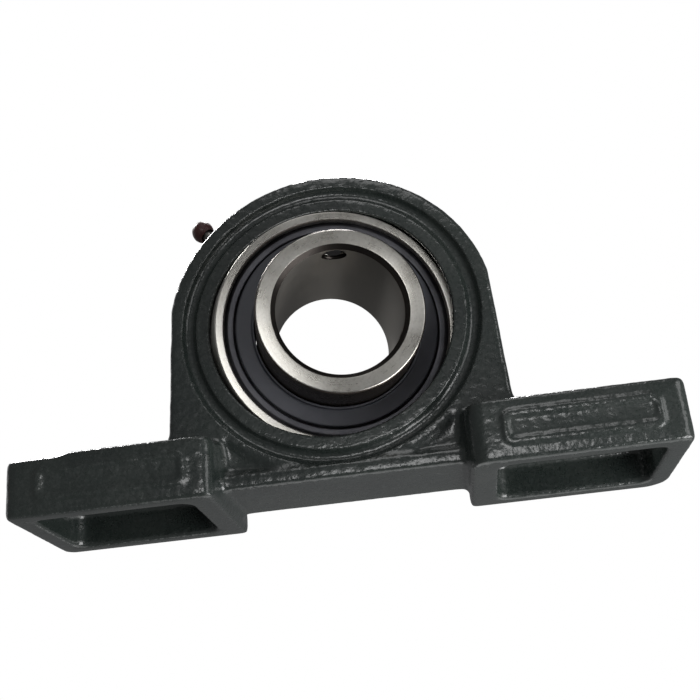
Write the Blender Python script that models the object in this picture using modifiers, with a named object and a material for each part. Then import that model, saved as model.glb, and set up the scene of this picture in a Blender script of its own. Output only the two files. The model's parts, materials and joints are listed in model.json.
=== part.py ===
"""Mounted ball bearing: a cast two-bolt pillow block that holds a self-aligning insert bearing.

The insert is a sealed deep-groove ball bearing whose outer ring has a spherical back, so that it
swivels in the housing's spherical seat. It stands swivelled by SWIVEL about an axis in the plane
of the housing's front. +Z is up, X runs along the base and -Y is the front, the side of the set
screws. The origin is on the surface that the feet stand on, below the middle of the object's box.
"""

import math

import bmesh
import bpy
from mathutils import Matrix, Vector

MM = 0.001
GAP = 0.3 * MM  # clearance between touching pieces
OVERCUT = 2.0 * MM  # how far a cutter runs past the face that it opens
MERGE = 0.001 * MM
SMOOTH_ANGLE = math.radians(30)
FULL_TURN = math.tau

# Sides of a turned piece
SIDES = 36
SMALL_SIDES = 20
HOLE_SIDES = 24
TINY_SIDES = 8

# Sides and rings of a sphere
BALL_FACETS = (12, 8)
POCKET_FACETS = (16, 10)

# Insert bearing, along its own axis: heights run to the front from the balls' plane
BORE_R = 15.0 * MM
INNER_RING_R = 19.8 * MM
INNER_RING_FRONT = 22.2 * MM
INNER_RING_REAR = 15.9 * MM
BORE_CHAMFER = 1.15 * MM
RING_CHAMFER = 0.4 * MM
BALL_R = 4.7625 * MM
BALL_COUNT = 9
PITCH_R = 23.0 * MM
GROOVE_R = BALL_R + GAP
OUTER_RING_R = 31.0 * MM
OUTER_RING_HALF = 9.5 * MM
OUTER_RING_CHAMFER = 0.15 * MM
OUTER_BORE_R = 26.3 * MM
SEAL_MOUTH_R = 27.3 * MM
SEAL_MOUTH_CHAMFER = 0.3 * MM
SEAL_GROOVE_R = 27.9 * MM
LUBE_HOLE_R = 0.9 * MM
LUBE_HOLE_BACK = 5.0 * MM
SWIVEL = math.radians(13.0)
SWIVEL_AXIS = Vector((math.cos(math.radians(50.0)), 0.0, math.sin(math.radians(50.0))))

# Seals: a steel carrier with a raised rim, and a rubber lip
SEAL_IN, SEAL_OUT = 6.5 * MM, 7.3 * MM
SEAL_RIM_OUT = 8.1 * MM
CARRIER_BORE_R = 22.4 * MM
CARRIER_STEP_R = 24.8 * MM
CARRIER_RIM_R = (25.1 * MM, 26.5 * MM)
LIP_OUTER_R = CARRIER_BORE_R - GAP
LIP_ROOT_R = 21.0 * MM
LIP_EDGE = (6.9 * MM, 7.2 * MM)

# Flingers: a pressed disc with a collar at the inner ring and a rim turned in
FLINGER_IN, FLINGER_OUT = 8.0 * MM, 8.7 * MM
FLINGER_RIM_IN = 7.7 * MM
FLINGER_R = 24.6 * MM
FLINGER_COLLAR = 10.2 * MM
FLINGER_SHEET = 0.5 * MM
FLINGER_BEND = 0.3 * MM

# Cage, pressed from sheet
CAGE_SHEET = 0.8 * MM
CAGE_IN_R, CAGE_OUT_R = 20.8 * MM, 25.2 * MM
RIVET_R = 0.6 * MM
RIVET_HEAD_R = 1.1 * MM
RIVET_HEAD_TOP_R = 0.66 * MM
RIVET_HEAD = 0.5 * MM

# Set screws, in the long front end of the inner ring
SCREW_R = 2.6 * MM
SCREW_LENGTH = 4.2 * MM
SCREW_SUNK = 0.1 * MM
SCREW_CHAMFER = 0.4 * MM
SCREW_CUP = 0.8 * MM
SCREW_FROM_FACE = 4.3 * MM
SCREW_ANGLES = {"set_screw_top": 90.0, "set_screw_side": -30.0}
HEX_KEY = 3.0 * MM
SOCKET_DEPTH = 2.2 * MM

# Housing
SHAFT_HEIGHT = 42.9 * MM
DOME_R = 40.0 * MM
HUB_HALF = 11.0 * MM
WALL_X = 40.5 * MM  # half width of the walls at WALL_FOOT_Z
WALL_FOOT_Z = 20.0 * MM
WALL_TAPER = 0.042  # how far a wall leans in for each unit of height
WALL_TOP = 8.0 * MM  # height over the shaft at which a wall runs into the dome
WALL_FILLET = 5.0 * MM
PLATE_BEVEL = 1.2 * MM
BASE_HALF_LENGTH = 77.0 * MM
BASE_HALF_DEPTH = 19.5 * MM
FOOT_HEIGHT = 14.6 * MM
FOOT_INNER_X = 28.5 * MM
FOOT_CORNER_FRONT = 2.5 * MM
FOOT_CORNER_BACK = {"right": 6.0 * MM, "left": 3.0 * MM}
SMALL_CORNER = 0.5 * MM
END_STEP = 0.8 * MM  # how far the left foot's end lies below its bolt pad
END_STEP_X = 63.5 * MM
WEB_UNDER = 3.0 * MM  # the middle web's underside, above the feet's
RAIL_TOP = 6.3 * MM
RAIL_HALF = 12.0 * MM
POCKET_X = (35.2 * MM, 71.8 * MM)
POCKET_HALF = 14.2 * MM
POCKET_DEPTH = 9.0 * MM
POCKET_CORNER = 3.0 * MM
BOLT_X = 59.0 * MM
SLOT_HALF_WIDTH = 8.5 * MM
SLOT_HALF_LENGTH = 10.5 * MM
SEAT_R = OUTER_RING_R + GAP
SEAT_CHAMFER_Z = 10.6 * MM
GREASE_GROOVE_DEPTH = 1.0 * MM
GREASE_GROOVE_HALF = 1.5 * MM
RING_GROOVE_R = (33.0 * MM, 36.3 * MM)
RING_GROOVE_DEPTH = 1.6 * MM
NOTCH_HALF = 9.8 * MM

# Grease nipple and its cap, as distances from the seat's centre
NIPPLE_ANGLE = math.radians(132.8)
STEM_R, STEM_START = 2.7 * MM, 34.4 * MM
STEM_CHAMFER = 0.5 * MM
DUCT_R = 1.2 * MM
SPOT_FACE = 40.0 * MM
SPOT_FACE_R = 4.6 * MM
HEX_R, HEX_TOP = 4.0 * MM, 43.2 * MM
NECK_R, NECK_TOP = 1.3 * MM, 45.0 * MM
HEAD_R, HEAD_TOP = 1.7 * MM, 49.5 * MM
HEAD_FACE_R = 1.1 * MM
HEAD_TAPER = 0.9 * MM
HEAD_BAND = 2.4 * MM
CHAMBER_R, CHAMBER_TOP = 0.95 * MM, 48.3 * MM
CHAMBER_FOOT = 35.2 * MM
CHAMBER_CONE = 0.3 * MM
MOUTH_R = 0.45 * MM
CHECK_BALL_R = 0.65 * MM
CHECK_TRAVEL = 0.8 * MM
SPRING_WIRE_R, SPRING_R = 0.1 * MM, 0.54 * MM
SPRING_TURNS, SPRING_SIDES = 6, 8
CAP_R, CAP_CENTRE = 2.85 * MM, 48.0 * MM
CAP_BORE_R = HEAD_R + GAP
CAP_WALL = 0.3 * MM

# The insert leans out further at the front, so its seat lies behind the middle of the box
FRONT_REACH = INNER_RING_FRONT * math.cos(SWIVEL) + INNER_RING_R * math.sin(SWIVEL)
REAR_REACH = INNER_RING_REAR * math.cos(SWIVEL) + INNER_RING_R * math.sin(SWIVEL)
SEAT_Y = (FRONT_REACH - REAR_REACH) / 2


# Helpers


def clear_scene():
    for old in list(bpy.data.objects):
        bpy.data.objects.remove(old)


def new_collection(name):
    collection = bpy.data.collections.new(name)
    bpy.context.scene.collection.children.link(collection)
    return collection


def material(name, colour, roughness, metallic=0.0):
    made = bpy.data.materials.new(name)
    made.use_nodes = True
    shader = made.node_tree.nodes["Principled BSDF"]
    shader.inputs["Base Color"].default_value = (*colour, 1.0)
    shader.inputs["Roughness"].default_value = roughness
    shader.inputs["Metallic"].default_value = metallic
    return made


def paint(target, surface):
    target.data.materials.clear()
    target.data.materials.append(surface)


def link(name, data, collection, surface=None, parent=None):
    made = bpy.data.objects.new(name, data)
    collection.objects.link(made)
    made.parent = parent
    if surface:
        paint(made, surface)
    return made


def empty(name, collection, place):
    """A guide that carries pieces round an axis: its Z lies along that axis."""
    made = link(name, None, collection)
    made.matrix_local = place
    return made


def modifier(target, kind, **settings):
    made = target.modifiers.new(kind.title(), kind)
    for key, value in settings.items():
        setattr(made, key, value)


def baked(target):
    """Replaces an object by a mesh of its evaluated shape, closed and with its faces outwards."""
    bpy.context.view_layer.update()
    depsgraph = bpy.context.evaluated_depsgraph_get()
    mesh = bpy.data.meshes.new_from_object(target.evaluated_get(depsgraph))
    mesh.name = target.name
    shape = bmesh.new()
    shape.from_mesh(mesh)
    bmesh.ops.remove_doubles(shape, verts=shape.verts, dist=MERGE)
    bmesh.ops.recalc_face_normals(shape, faces=shape.faces)
    shape.to_mesh(mesh)
    shape.free()
    mesh.shade_smooth()
    mesh.set_sharp_from_angle(angle=SMOOTH_ANGLE)
    name, parent = target.name, target.parent
    collection = target.users_collection[0]
    place = target.matrix_local.copy()
    bpy.data.objects.remove(target)
    made = link(name, mesh, collection, parent=parent)
    made.matrix_local = place
    return made


def turned(name, profile, collection, surface=None, parent=None, steps=SIDES, closed=True):
    """Turns a profile of (radius, height) points round Z. An open one starts and ends on the axis."""
    mesh = bpy.data.meshes.new(name)
    count = len(profile)
    edges = [(i, (i + 1) % count) for i in range(count if closed else count - 1)]
    mesh.from_pydata([(r, 0.0, z) for r, z in profile], edges, [])
    made = link(name, mesh, collection, surface, parent)
    modifier(
        made, "SCREW", angle=FULL_TURN, steps=steps, render_steps=steps, axis="Z",
        use_merge_vertices=True, merge_threshold=MERGE,
    )
    return baked(made)


def rod(name, radius, low, high, collection, parent=None, steps=HOLE_SIDES):
    """A turned cylinder, for cutting a round hole or joining a stub."""
    profile = [(0, high), (radius, high), (radius, low), (0, low)]
    return turned(name, profile, collection, parent=parent, steps=steps, closed=False)


def extruded(name, outline, low, high, collection, surface=None, parent=None):
    """A flat outline in XY, as a solid from the height low to high."""
    curve = bpy.data.curves.new(name, "CURVE")
    curve.dimensions = "2D"
    curve.fill_mode = "BOTH"
    curve.extrude = (high - low) / 2
    spline = curve.splines.new("POLY")
    spline.points.add(len(outline) - 1)
    for point, (x, y) in zip(spline.points, outline):
        point.co = (x, y, 0.0, 1.0)
    spline.use_cyclic_u = True
    made = link(name, curve, collection, parent=parent)
    made.location.z = (low + high) / 2
    solid = baked(made)
    if surface:
        paint(solid, surface)
    return solid


def sphere(name, radius, place, sides, rings, collection, parent, surface=None):
    mesh = bpy.data.meshes.new(name)
    shape = bmesh.new()
    bmesh.ops.create_uvsphere(shape, u_segments=sides, v_segments=rings, radius=radius)
    shape.to_mesh(mesh)
    shape.free()
    mesh.shade_smooth()
    made = link(name, mesh, collection, surface, parent)
    made.matrix_local = place
    return made


def boolean(target, tool, operation="DIFFERENCE"):
    """Cuts with a tool, joins it or keeps what it covers. The tool stays as a hidden cutter."""
    modifier(target, "BOOLEAN", operation=operation, object=tool, solver="EXACT")
    tool.hide_render = True
    tool.display_type = "WIRE"


def arc(centre, radius, start, end, count):
    """Points round a centre, from the angle start to end in degrees."""
    angles = [math.radians(start + (end - start) * i / count) for i in range(count + 1)]
    return [(centre[0] + radius * math.cos(a), centre[1] + radius * math.sin(a)) for a in angles]


def mirrored(outline):
    return [(-x, y) for x, y in reversed(outline)]


def underside(profile):
    """A profile drawn for the front, mirrored for the rear. It keeps its direction."""
    return [(r, -z) for r, z in reversed(profile)]


def facing(side, profile):
    """A profile drawn for the front (side 1), or mirrored for the rear (side -1)."""
    return profile if side > 0 else underside(profile)


def across(angle, height):
    """Turns a piece's Z outwards along a radius, at that angle in degrees and that height."""
    turn = Matrix.Rotation(math.radians(angle), 4, "Z") @ Matrix.Rotation(math.radians(90), 4, "Y")
    return Matrix.Translation((0, 0, height)) @ turn


def on_pitch_circle(steps):
    """A place on the balls' circle, that many ball spacings from the first ball, and turned with it."""
    turn = Matrix.Rotation(FULL_TURN * steps / BALL_COUNT, 4, "Z")
    return turn @ Matrix.Translation((PITCH_R, 0, 0))


# Housing


def wall_x(z):
    return WALL_X - WALL_TAPER * (z - WALL_FOOT_Z)


def plate_outline():
    """The upright plate seen from the front, as (x, height over the base)."""
    meet = math.degrees(math.acos(wall_x(SHAFT_HEIGHT + WALL_TOP) / DOME_R))
    fillet = (WALL_X + WALL_FILLET, FOOT_HEIGHT + WALL_FILLET)
    right = [(WALL_X + WALL_FILLET, WEB_UNDER), *arc(fillet, WALL_FILLET, 270, 180, 5)]
    right += arc((0, SHAFT_HEIGHT), DOME_R, meet, 90, 14)
    return right + mirrored(right[:-1])


def foot_outline(corner_back):
    """The right foot seen from above: square inside, with rounded outer corners."""
    end, half = BASE_HALF_LENGTH, BASE_HALF_DEPTH
    back = arc((end - corner_back, half - corner_back), corner_back, 90, 0, 5)
    front = arc((end - FOOT_CORNER_FRONT, FOOT_CORNER_FRONT - half), FOOT_CORNER_FRONT, 0, -90, 4)
    return [(FOOT_INNER_X, -half), (FOOT_INNER_X, half), *back, *front]


def rounded_rectangle(low, high, half, corner):
    """From low to high in X and half to each side in Y, starting at the front right corner."""
    points = []
    for x, y, start in (
        (high - corner, corner - half, -90), (high - corner, half - corner, 0),
        (low + corner, half - corner, 90), (low + corner, corner - half, 180),
    ):
        points += arc((x, y), corner, start, start + 90, 3)
    return points


def slot_outline():
    """The right foot's bolt slot, rounded at both ends."""
    run = SLOT_HALF_LENGTH - SLOT_HALF_WIDTH
    right = arc((BOLT_X + run, 0), SLOT_HALF_WIDTH, -90, 90, 10)
    left = arc((BOLT_X - run, 0), SLOT_HALF_WIDTH, 90, 270, 10)
    return right + left


def seat_profile():
    """The seat's cutter: a sphere's zone with a grease groove, and a chamfer at both mouths."""
    mouth = math.degrees(math.asin(SEAT_CHAMFER_Z / SEAT_R))
    groove = math.degrees(math.asin(GREASE_GROOVE_HALF / SEAT_R))
    beyond = HUB_HALF + OVERCUT
    flare = SEAT_R * math.cos(math.radians(mouth)) + beyond - SEAT_CHAMFER_Z
    zone = arc((0, 0), SEAT_R, mouth, groove, 4)
    half = [(0, beyond), (flare, beyond), *zone, (zone[-1][0] + GREASE_GROOVE_DEPTH, zone[-1][1])]
    return half + underside(half)


def ring_groove_profile():
    """The dished groove round the hub's front, as its cutter."""
    inner, outer = RING_GROOVE_R
    half = (outer - inner) / 2
    radius = (half * half + RING_GROOVE_DEPTH * RING_GROOVE_DEPTH) / (2 * RING_GROOVE_DEPTH)
    spread = math.degrees(math.asin(half / radius))
    centre = ((inner + outer) / 2, HUB_HALF - RING_GROOVE_DEPTH + radius)
    dish = arc(centre, radius, -90 - spread, -90 + spread, 5)
    return [*dish, (outer, HUB_HALF + OVERCUT), (inner, HUB_HALF + OVERCUT)]


def add_feet(plate, cutters):
    """Joins both feet and the low rail between them. The left foot steps down past its pad."""
    end = BASE_HALF_LENGTH
    right = foot_outline(FOOT_CORNER_BACK["right"])
    left = mirrored(foot_outline(FOOT_CORNER_BACK["left"]))
    pad = mirrored(rounded_rectangle(FOOT_INNER_X, END_STEP_X, BASE_HALF_DEPTH, SMALL_CORNER))
    reach = FOOT_INNER_X + OVERCUT
    rail = rounded_rectangle(-reach, reach, RAIL_HALF, SMALL_CORNER)
    for solid in (
        extruded("foot_right", right, 0, FOOT_HEIGHT, cutters),
        extruded("foot_left_end", left, 0, FOOT_HEIGHT - END_STEP, cutters),
        extruded("foot_left_pad", pad, OVERCUT, FOOT_HEIGHT, cutters),
        extruded("rail", rail, WEB_UNDER, RAIL_TOP, cutters),
    ):
        solid.location.y = SEAT_Y
        boolean(plate, solid, "UNION")


def hollow_feet(plate, cutters):
    """Cuts each foot's cored pocket from below, and its bolt slot through the pad."""
    pocket = rounded_rectangle(*POCKET_X, POCKET_HALF, POCKET_CORNER)
    slot = slot_outline()
    roof, above = POCKET_DEPTH - OVERCUT, FOOT_HEIGHT + OVERCUT
    for side, turn in (("right", list), ("left", mirrored)):
        for tool in (
            extruded("pocket_" + side, turn(pocket), -OVERCUT, POCKET_DEPTH, cutters),
            extruded("slot_" + side, turn(slot), roof, above, cutters),
        ):
            tool.location.y = SEAT_Y
            boolean(plate, tool)


def loading_notch(cutters, bore):
    """The cutter for the two notches at the rear that let the insert in edgeways."""
    notch = rod("loading_notch", SEAT_R, -HUB_HALF - OVERCUT, 0, cutters, bore, SIDES)
    outline = rounded_rectangle(-SEAT_R, SEAT_R, NOTCH_HALF, SMALL_CORNER)
    band = extruded("notch_band", outline, -HUB_HALF - 2 * OVERCUT, OVERCUT, cutters, parent=bore)
    boolean(notch, band, "INTERSECT")
    return notch


def nipple_seat_profile():
    """The stepped cutter for the nipple's spot face, its hole and the grease duct to the seat."""
    above, low = DOME_R + 2 * OVERCUT, SEAT_R - OVERCUT
    face, floor = SPOT_FACE - GAP, STEM_START - GAP
    hole_r = STEM_R + GAP
    return [
        (0, above), (SPOT_FACE_R, above), (SPOT_FACE_R, face), (hole_r, face), (hole_r, floor),
        (DUCT_R, floor), (DUCT_R, low), (0, low),
    ]


def housing(parts, cutters, surface, bore, nipple_axis):
    plate = extruded("housing", plate_outline(), -HUB_HALF, HUB_HALF, parts, surface)
    plate.matrix_local = Matrix.Translation((0, SEAT_Y, 0)) @ Matrix.Rotation(math.radians(90), 4, "X")
    modifier(
        plate, "BEVEL", width=PLATE_BEVEL, segments=2,
        limit_method="ANGLE", angle_limit=math.radians(60),
    )
    add_feet(plate, cutters)
    hollow_feet(plate, cutters)
    groove = ring_groove_profile()
    for tool in (
        turned("seat", seat_profile(), cutters, parent=bore, closed=False),
        turned("ring_groove_front", groove, cutters, parent=bore),
        turned("ring_groove_rear", underside(groove), cutters, parent=bore),
        loading_notch(cutters, bore),
        turned(
            "nipple_seat", nipple_seat_profile(), cutters,
            parent=nipple_axis, steps=HOLE_SIDES, closed=False,
        ),
    ):
        boolean(plate, tool)


# Insert bearing


def raceway(shoulder, start):
    """The balls' groove in a ring, from the angle start, where its shoulder has that radius."""
    spread = math.degrees(math.acos(abs(shoulder - PITCH_R) / GROOVE_R))
    if start > 0:
        return arc((PITCH_R, 0), GROOVE_R, 180 - spread, 180 + spread, 6)
    return arc((PITCH_R, 0), GROOVE_R, spread, -spread, 6)


def outer_ring(parts, cutters, surface, frame):
    """A ring with a spherical back, a groove for each seal and two grease holes."""
    edge = math.degrees(math.asin((OUTER_RING_HALF - OUTER_RING_CHAMFER) / OUTER_RING_R))
    back = arc((0, 0), OUTER_RING_R, edge, -edge, 6)
    face_r = back[0][0] - OUTER_RING_CHAMFER
    mouth = [
        (SEAL_MOUTH_R + SEAL_MOUTH_CHAMFER, OUTER_RING_HALF),
        (SEAL_MOUTH_R, OUTER_RING_HALF - SEAL_MOUTH_CHAMFER),
        (SEAL_MOUTH_R, SEAL_OUT + GAP + (SEAL_GROOVE_R - SEAL_MOUTH_R) / 3),
        (SEAL_GROOVE_R, SEAL_OUT + GAP), (SEAL_GROOVE_R, SEAL_IN - GAP),
        (OUTER_BORE_R, SEAL_IN - GAP),
    ]
    inside = [*mouth, *raceway(OUTER_BORE_R, -1), *underside(mouth)]
    outside = [(face_r, OUTER_RING_HALF), *back, (face_r, -OUTER_RING_HALF)]
    ring = turned("outer_ring", [*outside, *reversed(inside)], parts, surface, frame)
    for number, angle in enumerate((90.0, 270.0), start=1):
        low, high = OUTER_BORE_R - OVERCUT, OUTER_RING_R + OVERCUT
        drill = rod("lube_hole_%d" % number, LUBE_HOLE_R, low, high, cutters, frame, TINY_SIDES)
        drill.matrix_local = across(angle, -LUBE_HOLE_BACK)
        boolean(ring, drill)


def inner_ring(parts, cutters, surface, frame):
    """A ring that is longer at the front, where two tapped holes take the set screws."""
    front, rear, land = INNER_RING_FRONT, -INNER_RING_REAR, INNER_RING_R
    mouth_r = BORE_R + BORE_CHAMFER
    profile = [
        (mouth_r, front), (land - RING_CHAMFER, front), (land, front - RING_CHAMFER),
        *raceway(land, 1),
        (land, rear + RING_CHAMFER), (land - RING_CHAMFER, rear), (mouth_r, rear),
        (BORE_R, rear + BORE_CHAMFER), (BORE_R, front - BORE_CHAMFER),
    ]
    ring = turned("inner_ring", profile, parts, surface, frame)
    low, high = BORE_R - OVERCUT, INNER_RING_R + OVERCUT
    for name, angle in SCREW_ANGLES.items():
        hole = rod("hole_" + name, SCREW_R + GAP, low, high, cutters, frame, SMALL_SIDES)
        hole.matrix_local = across(angle, INNER_RING_FRONT - SCREW_FROM_FACE)
        boolean(ring, hole)


def set_screw(name, angle, parts, cutters, surface, frame):
    """A headless socket screw with a cup point, its outer end just under the ring's surface."""
    top = INNER_RING_R - SCREW_SUNK
    point = top - SCREW_LENGTH
    profile = [
        (0, top), (SCREW_R - SCREW_CHAMFER, top), (SCREW_R, top - SCREW_CHAMFER),
        (SCREW_R, point + SCREW_CUP), (SCREW_R - SCREW_CUP, point), (0, point + SCREW_CUP / 2),
    ]
    screw = turned(name, profile, parts, surface, frame, SMALL_SIDES, closed=False)
    key_r = HEX_KEY / math.sqrt(3)
    socket = rod("socket_" + name, key_r, top - SOCKET_DEPTH, top + OVERCUT, cutters, frame, 6)
    for piece in (screw, socket):
        piece.matrix_local = across(angle, INNER_RING_FRONT - SCREW_FROM_FACE)
    boolean(screw, socket)


def ball(number, parts, surface, frame):
    """One ball, with its origin at its own centre."""
    place = on_pitch_circle(number - 1)
    sphere("ball_%d" % number, BALL_R, place, *BALL_FACETS, parts, frame, surface)


def ring_section(low, high):
    """The cage's square section between two heights."""
    low, high = min(low, high), max(low, high)
    return [(CAGE_IN_R, high), (CAGE_OUT_R, high), (CAGE_OUT_R, low), (CAGE_IN_R, low)]


def cage_half(name, side, parts, cutters, surface, frame):
    """A pressed ring with a pocket for each ball: side 1 is the front half and -1 the rear."""
    face, sheet_top = side * GAP / 2, side * (GAP / 2 + CAGE_SHEET)
    pocket_r = BALL_R + GAP
    shell_r = pocket_r + CAGE_SHEET
    flat = turned(name, ring_section(face, sheet_top), parts, surface, frame)
    beyond = side * (shell_r + OVERCUT)
    limit = turned("limit_" + name, ring_section(face, beyond), cutters, parent=frame)
    for number in range(BALL_COUNT):
        label = "%s_shell_%d" % (name, number + 1)
        shell = sphere(label, shell_r, on_pitch_circle(number), *POCKET_FACETS, cutters, frame)
        boolean(flat, shell, "UNION")
    boolean(flat, limit, "INTERSECT")
    for number in range(BALL_COUNT):
        label = "%s_pocket_%d" % (name, number + 1)
        pocket = sphere(label, pocket_r, on_pitch_circle(number), *POCKET_FACETS, cutters, frame)
        boolean(flat, pocket)
        label = "%s_rivet_hole_%d" % (name, number + 1)
        hole = rod(label, RIVET_R + GAP, -OVERCUT, OVERCUT, cutters, frame, TINY_SIDES)
        hole.matrix_local = on_pitch_circle(number + 0.5)
        boolean(flat, hole)


def rivet(number, parts, surface, frame):
    """A rivet through both cage halves, with a head on each side."""
    seat = GAP / 2 + CAGE_SHEET + GAP
    top = seat + RIVET_HEAD
    half = [(0, top), (RIVET_HEAD_TOP_R, top), (RIVET_HEAD_R, seat), (RIVET_R, seat)]
    profile = half + underside(half)
    made = turned(
        "cage_rivet_%d" % number, profile, parts, surface, frame, TINY_SIDES, closed=False,
    )
    made.matrix_local = on_pitch_circle(number - 0.5)


def seal(place, side, parts, steel, rubber, frame):
    """A pressed steel carrier in the outer ring, and the rubber lip that rubs on the inner ring."""
    rim_in, rim_out = CARRIER_RIM_R
    carrier = [
        (SEAL_MOUTH_R - GAP, SEAL_OUT + GAP), (SEAL_GROOVE_R - GAP, SEAL_OUT),
        (SEAL_GROOVE_R - GAP, SEAL_IN), (CARRIER_BORE_R, SEAL_IN), (CARRIER_BORE_R, SEAL_OUT),
        (CARRIER_STEP_R, SEAL_OUT), (rim_in, SEAL_RIM_OUT), (rim_out, SEAL_RIM_OUT),
    ]
    edge_in, edge_out = LIP_EDGE
    lip = [
        (INNER_RING_R + GAP, edge_out), (LIP_OUTER_R, SEAL_OUT), (LIP_OUTER_R, SEAL_IN),
        (LIP_ROOT_R, SEAL_IN), (INNER_RING_R + GAP, edge_in),
    ]
    turned("seal_carrier_" + place, facing(side, carrier), parts, steel, frame)
    turned("seal_lip_" + place, facing(side, lip), parts, rubber, frame)


def flinger(place, side, parts, surface, frame):
    """A pressed disc on the inner ring that throws off dirt, with a collar and a turned rim."""
    inner = INNER_RING_R + GAP
    profile = [
        (inner, FLINGER_COLLAR), (inner + FLINGER_SHEET, FLINGER_COLLAR),
        (inner + FLINGER_SHEET, FLINGER_OUT + FLINGER_BEND),
        (FLINGER_R - FLINGER_BEND, FLINGER_OUT), (FLINGER_R, FLINGER_OUT - FLINGER_BEND),
        (FLINGER_R, FLINGER_RIM_IN), (FLINGER_R - FLINGER_SHEET, FLINGER_RIM_IN),
        (FLINGER_R - FLINGER_SHEET, FLINGER_IN), (inner, FLINGER_IN),
    ]
    turned("flinger_" + place, facing(side, profile), parts, surface, frame)


# Grease nipple


def grease_nipple(parts, cutters, surface, frame):
    """A threaded stem, a hexagon and a grooved head, hollow for the check ball and its spring."""
    profile = [
        (0, HEAD_TOP), (HEAD_FACE_R, HEAD_TOP), (HEAD_R, HEAD_TOP - HEAD_TAPER),
        (HEAD_R, HEAD_TOP - HEAD_BAND), (NECK_R, NECK_TOP), (NECK_R, HEX_TOP),
        (STEM_R, HEX_TOP - STEM_CHAMFER), (STEM_R, STEM_START + STEM_CHAMFER),
        (STEM_R - STEM_CHAMFER, STEM_START), (0, STEM_START),
    ]
    nipple = turned("grease_nipple", profile, parts, surface, frame, SMALL_SIDES, closed=False)
    hexagon = rod("nipple_hexagon", HEX_R, SPOT_FACE, HEX_TOP - GAP, cutters, frame, 6)
    boolean(nipple, hexagon, "UNION")
    above, below = HEAD_TOP + OVERCUT, STEM_START - OVERCUT
    hollow = [
        (0, above), (MOUTH_R, above), (MOUTH_R, CHAMBER_TOP + CHAMBER_CONE),
        (CHAMBER_R, CHAMBER_TOP - CHAMBER_CONE), (CHAMBER_R, CHAMBER_FOOT),
        (MOUTH_R, CHAMBER_FOOT - CHAMBER_CONE), (MOUTH_R, below), (0, below),
    ]
    boolean(nipple, turned("nipple_bore", hollow, cutters, parent=frame, steps=16, closed=False))


def check_ball_height():
    """The ball's centre, at rest just under the cone below the nipple's mouth."""
    return CHAMBER_TOP - CHECK_BALL_R - GAP


def check_spring(parts, surface, frame):
    """A coil under the check ball. It moves with the ball, so it keeps clear of the foot."""
    low = CHAMBER_FOOT + CHECK_TRAVEL + GAP + SPRING_WIRE_R
    high = check_ball_height() - CHECK_BALL_R - GAP - SPRING_WIRE_R
    curve = bpy.data.curves.new("nipple_spring", "CURVE")
    curve.dimensions = "3D"
    curve.bevel_depth = SPRING_WIRE_R
    curve.bevel_resolution = 0
    curve.use_fill_caps = True
    spline = curve.splines.new("POLY")
    count = SPRING_TURNS * SPRING_SIDES
    spline.points.add(count)
    for i, point in enumerate(spline.points):
        angle = FULL_TURN * i / SPRING_SIDES
        x, y = SPRING_R * math.cos(angle), SPRING_R * math.sin(angle)
        point.co = (x, y, low + (high - low) * i / count, 1.0)
    paint(baked(link("nipple_spring", curve, parts, parent=frame)), surface)


def nipple_cap(parts, surface, frame):
    """A round dust cap that pushes over the nipple's head. Its mouth is where its wall ends."""
    mouth = math.degrees(math.acos((CAP_BORE_R + CAP_WALL) / CAP_R))
    outside = arc((0, CAP_CENTRE), CAP_R, 90, -mouth, 9)
    outside[0] = (0, CAP_CENTRE + CAP_R)
    roof = HEAD_TOP + GAP
    bore = [(CAP_BORE_R, outside[-1][1]), (CAP_BORE_R, roof - GAP), (HEAD_FACE_R + GAP, roof), (0, roof)]
    turned("nipple_cap", [*outside, *bore], parts, surface, frame, SMALL_SIDES, closed=False)


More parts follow.
